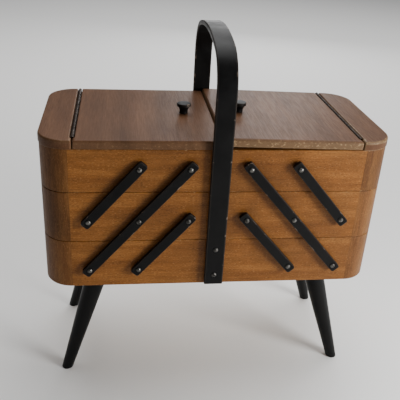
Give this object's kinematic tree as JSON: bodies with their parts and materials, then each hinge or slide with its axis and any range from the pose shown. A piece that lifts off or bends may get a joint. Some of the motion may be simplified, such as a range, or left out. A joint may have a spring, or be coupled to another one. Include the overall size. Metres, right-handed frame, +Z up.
{
  "type": "cantilever sewing box",
  "caption": "Wooden sewing box on splayed legs: half trays spread outwards on parallel links, with hinged lids on the top tier and a strap handle over the middle.",
  "frame": {"origin": "on the ground under the middle of the box", "axes": "+Z up, +X to the right along the box, +Y to the back"},
  "size_m": [0.4416, 0.2274, 0.481],
  "materials": {
    "box_walls": "golden-brown beech with fine dark flecks, satin lacquer, slightly worn edges",
    "corner_posts": "golden-brown beech, grain running upright, satin lacquer",
    "base_panels": "pale plywood, thin clear lacquer",
    "battens": "plain planed softwood",
    "lids": "dark walnut-brown stained boards, semi-gloss lacquer, rounded worn edges",
    "end_rails": "dark walnut-brown stained boards, semi-gloss lacquer, rounded worn edges",
    "links": "black painted wood, satin, edges rubbed a little",
    "legs": "black painted turned wood, satin",
    "handle_strap": "black painted bent wood strap, satin, edges rubbed a little",
    "knobs": "black painted turned wood, satin",
    "screws": "bright steel slotted dome heads",
    "washers": "plain steel washers",
    "hinges": "browned brass continuous hinge",
    "bolts": "zinc plated steel",
    "inserts": "plain brass"
  },
  "bodies": {
    "bottom_box": {"bottom_box_front_wall": "box_walls", "bottom_box_back_wall": "box_walls", "bottom_box_left_end": "box_walls", "bottom_box_right_end": "box_walls", "bottom_box_corner_posts": "corner_posts", "bottom_box_base_panel": "base_panels", "leg_battens": "battens", "leg_front_left": "legs", "leg_front_right": "legs", "leg_back_left": "legs", "leg_back_right": "legs", "leg_bolts": "bolts", "leg_inserts": "inserts", "handle": "handle_strap", "handle_screws": "screws", "bottom_box_pivot_screws": "screws", "bottom_box_washers": "washers"},
    "left_long_links": {"left_long_link_front": "links", "left_long_link_back": "links"},
    "left_lower_links": {"left_lower_link_front": "links", "left_lower_link_back": "links"},
    "left_upper_links": {"left_upper_link_front": "links", "left_upper_link_back": "links"},
    "left_middle_tray": {"left_middle_tray_walls": "box_walls", "left_middle_tray_corner_posts": "corner_posts", "left_middle_tray_base_panel": "base_panels", "left_middle_tray_pivot_screws": "screws"},
    "left_top_tray": {"left_top_tray_walls": "box_walls", "left_top_tray_corner_posts": "corner_posts", "left_top_tray_base_panel": "base_panels", "left_top_tray_pivot_screws": "screws", "left_end_rail": "end_rails", "left_hinge_rail_leaf": "hinges", "left_hinge_pin": "hinges"},
    "left_lid_assembly": {"left_lid": "lids", "left_hinge_lid_leaf": "hinges", "left_knob": "knobs", "left_knob_screw": "screws"},
    "right_long_links": {"right_long_link_front": "links", "right_long_link_back": "links"},
    "right_lower_links": {"right_lower_link_front": "links", "right_lower_link_back": "links"},
    "right_upper_links": {"right_upper_link_front": "links", "right_upper_link_back": "links"},
    "right_middle_tray": {"right_middle_tray_walls": "box_walls", "right_middle_tray_corner_posts": "corner_posts", "right_middle_tray_base_panel": "base_panels", "right_middle_tray_pivot_screws": "screws"},
    "right_top_tray": {"right_top_tray_walls": "box_walls", "right_top_tray_corner_posts": "corner_posts", "right_top_tray_base_panel": "base_panels", "right_top_tray_pivot_screws": "screws", "right_end_rail": "end_rails", "right_hinge_rail_leaf": "hinges", "right_hinge_pin": "hinges"},
    "right_lid_assembly": {"right_lid": "lids", "right_hinge_lid_leaf": "hinges", "right_knob": "knobs", "right_knob_screw": "screws"}
  },
  "joints": [
    {"name": "left_long_links_swing", "type": "hinge", "parent": "bottom_box", "child": "left_long_links", "pos_m": [-0.1614, 0, 0.1886], "axis": [0, -1, 0], "range_deg": [0, 82.61]},
    {"name": "left_middle_tray_level", "type": "hinge", "parent": "left_long_links", "child": "left_middle_tray", "pos_m": [-0.0994, 0, 0.2591], "axis": [0, -1, 0], "range_deg": [-83.11, 0.5]},
    {"name": "left_top_tray_level", "type": "hinge", "parent": "left_long_links", "child": "left_top_tray", "pos_m": [-0.0374, 0, 0.3296], "axis": [0, -1, 0], "range_deg": [-83.11, 0.5]},
    {"name": "left_lower_links_swing", "type": "hinge", "parent": "bottom_box", "child": "left_lower_links", "pos_m": [-0.0994, 0, 0.1886], "axis": [0, -1, 0], "range_deg": [-0.5, 83.11]},
    {"name": "left_upper_links_swing", "type": "hinge", "parent": "left_middle_tray", "child": "left_upper_links", "pos_m": [-0.1614, 0, 0.2591], "axis": [0, -1, 0], "range_deg": [-0.5, 83.11]},
    {"name": "left_lid_hinge", "type": "hinge", "parent": "left_top_tray", "child": "left_lid_assembly", "pos_m": [-0.1784, 0, 0.3618], "axis": [0, -1, 0], "range_deg": [0, 107]},
    {"name": "right_long_links_swing", "type": "hinge", "parent": "bottom_box", "child": "right_long_links", "pos_m": [0.1614, 0, 0.1886], "axis": [0, 1, 0], "range_deg": [0, 82.61]},
    {"name": "right_middle_tray_level", "type": "hinge", "parent": "right_long_links", "child": "right_middle_tray", "pos_m": [0.0994, 0, 0.2591], "axis": [0, 1, 0], "range_deg": [-83.11, 0.5]},
    {"name": "right_top_tray_level", "type": "hinge", "parent": "right_long_links", "child": "right_top_tray", "pos_m": [0.0374, 0, 0.3296], "axis": [0, 1, 0], "range_deg": [-83.11, 0.5]},
    {"name": "right_lower_links_swing", "type": "hinge", "parent": "bottom_box", "child": "right_lower_links", "pos_m": [0.0994, 0, 0.1886], "axis": [0, 1, 0], "range_deg": [-0.5, 83.11]},
    {"name": "right_upper_links_swing", "type": "hinge", "parent": "right_middle_tray", "child": "right_upper_links", "pos_m": [0.1614, 0, 0.2591], "axis": [0, 1, 0], "range_deg": [-0.5, 83.11]},
    {"name": "right_lid_hinge", "type": "hinge", "parent": "right_top_tray", "child": "right_lid_assembly", "pos_m": [0.1784, 0, 0.3618], "axis": [0, 1, 0], "range_deg": [-1.15, 105.85]}
  ],
  "couplings": [
    {"joint": "left_middle_tray_level", "follows": "left_long_links_swing", "ratio": -1},
    {"joint": "left_top_tray_level", "follows": "left_long_links_swing", "ratio": -1},
    {"joint": "left_lower_links_swing", "follows": "left_long_links_swing", "ratio": 1},
    {"joint": "left_upper_links_swing", "follows": "left_long_links_swing", "ratio": 1},
    {"joint": "right_middle_tray_level", "follows": "right_long_links_swing", "ratio": -1},
    {"joint": "right_top_tray_level", "follows": "right_long_links_swing", "ratio": -1},
    {"joint": "right_lower_links_swing", "follows": "right_long_links_swing", "ratio": 1},
    {"joint": "right_upper_links_swing", "follows": "right_long_links_swing", "ratio": 1}
  ]
}
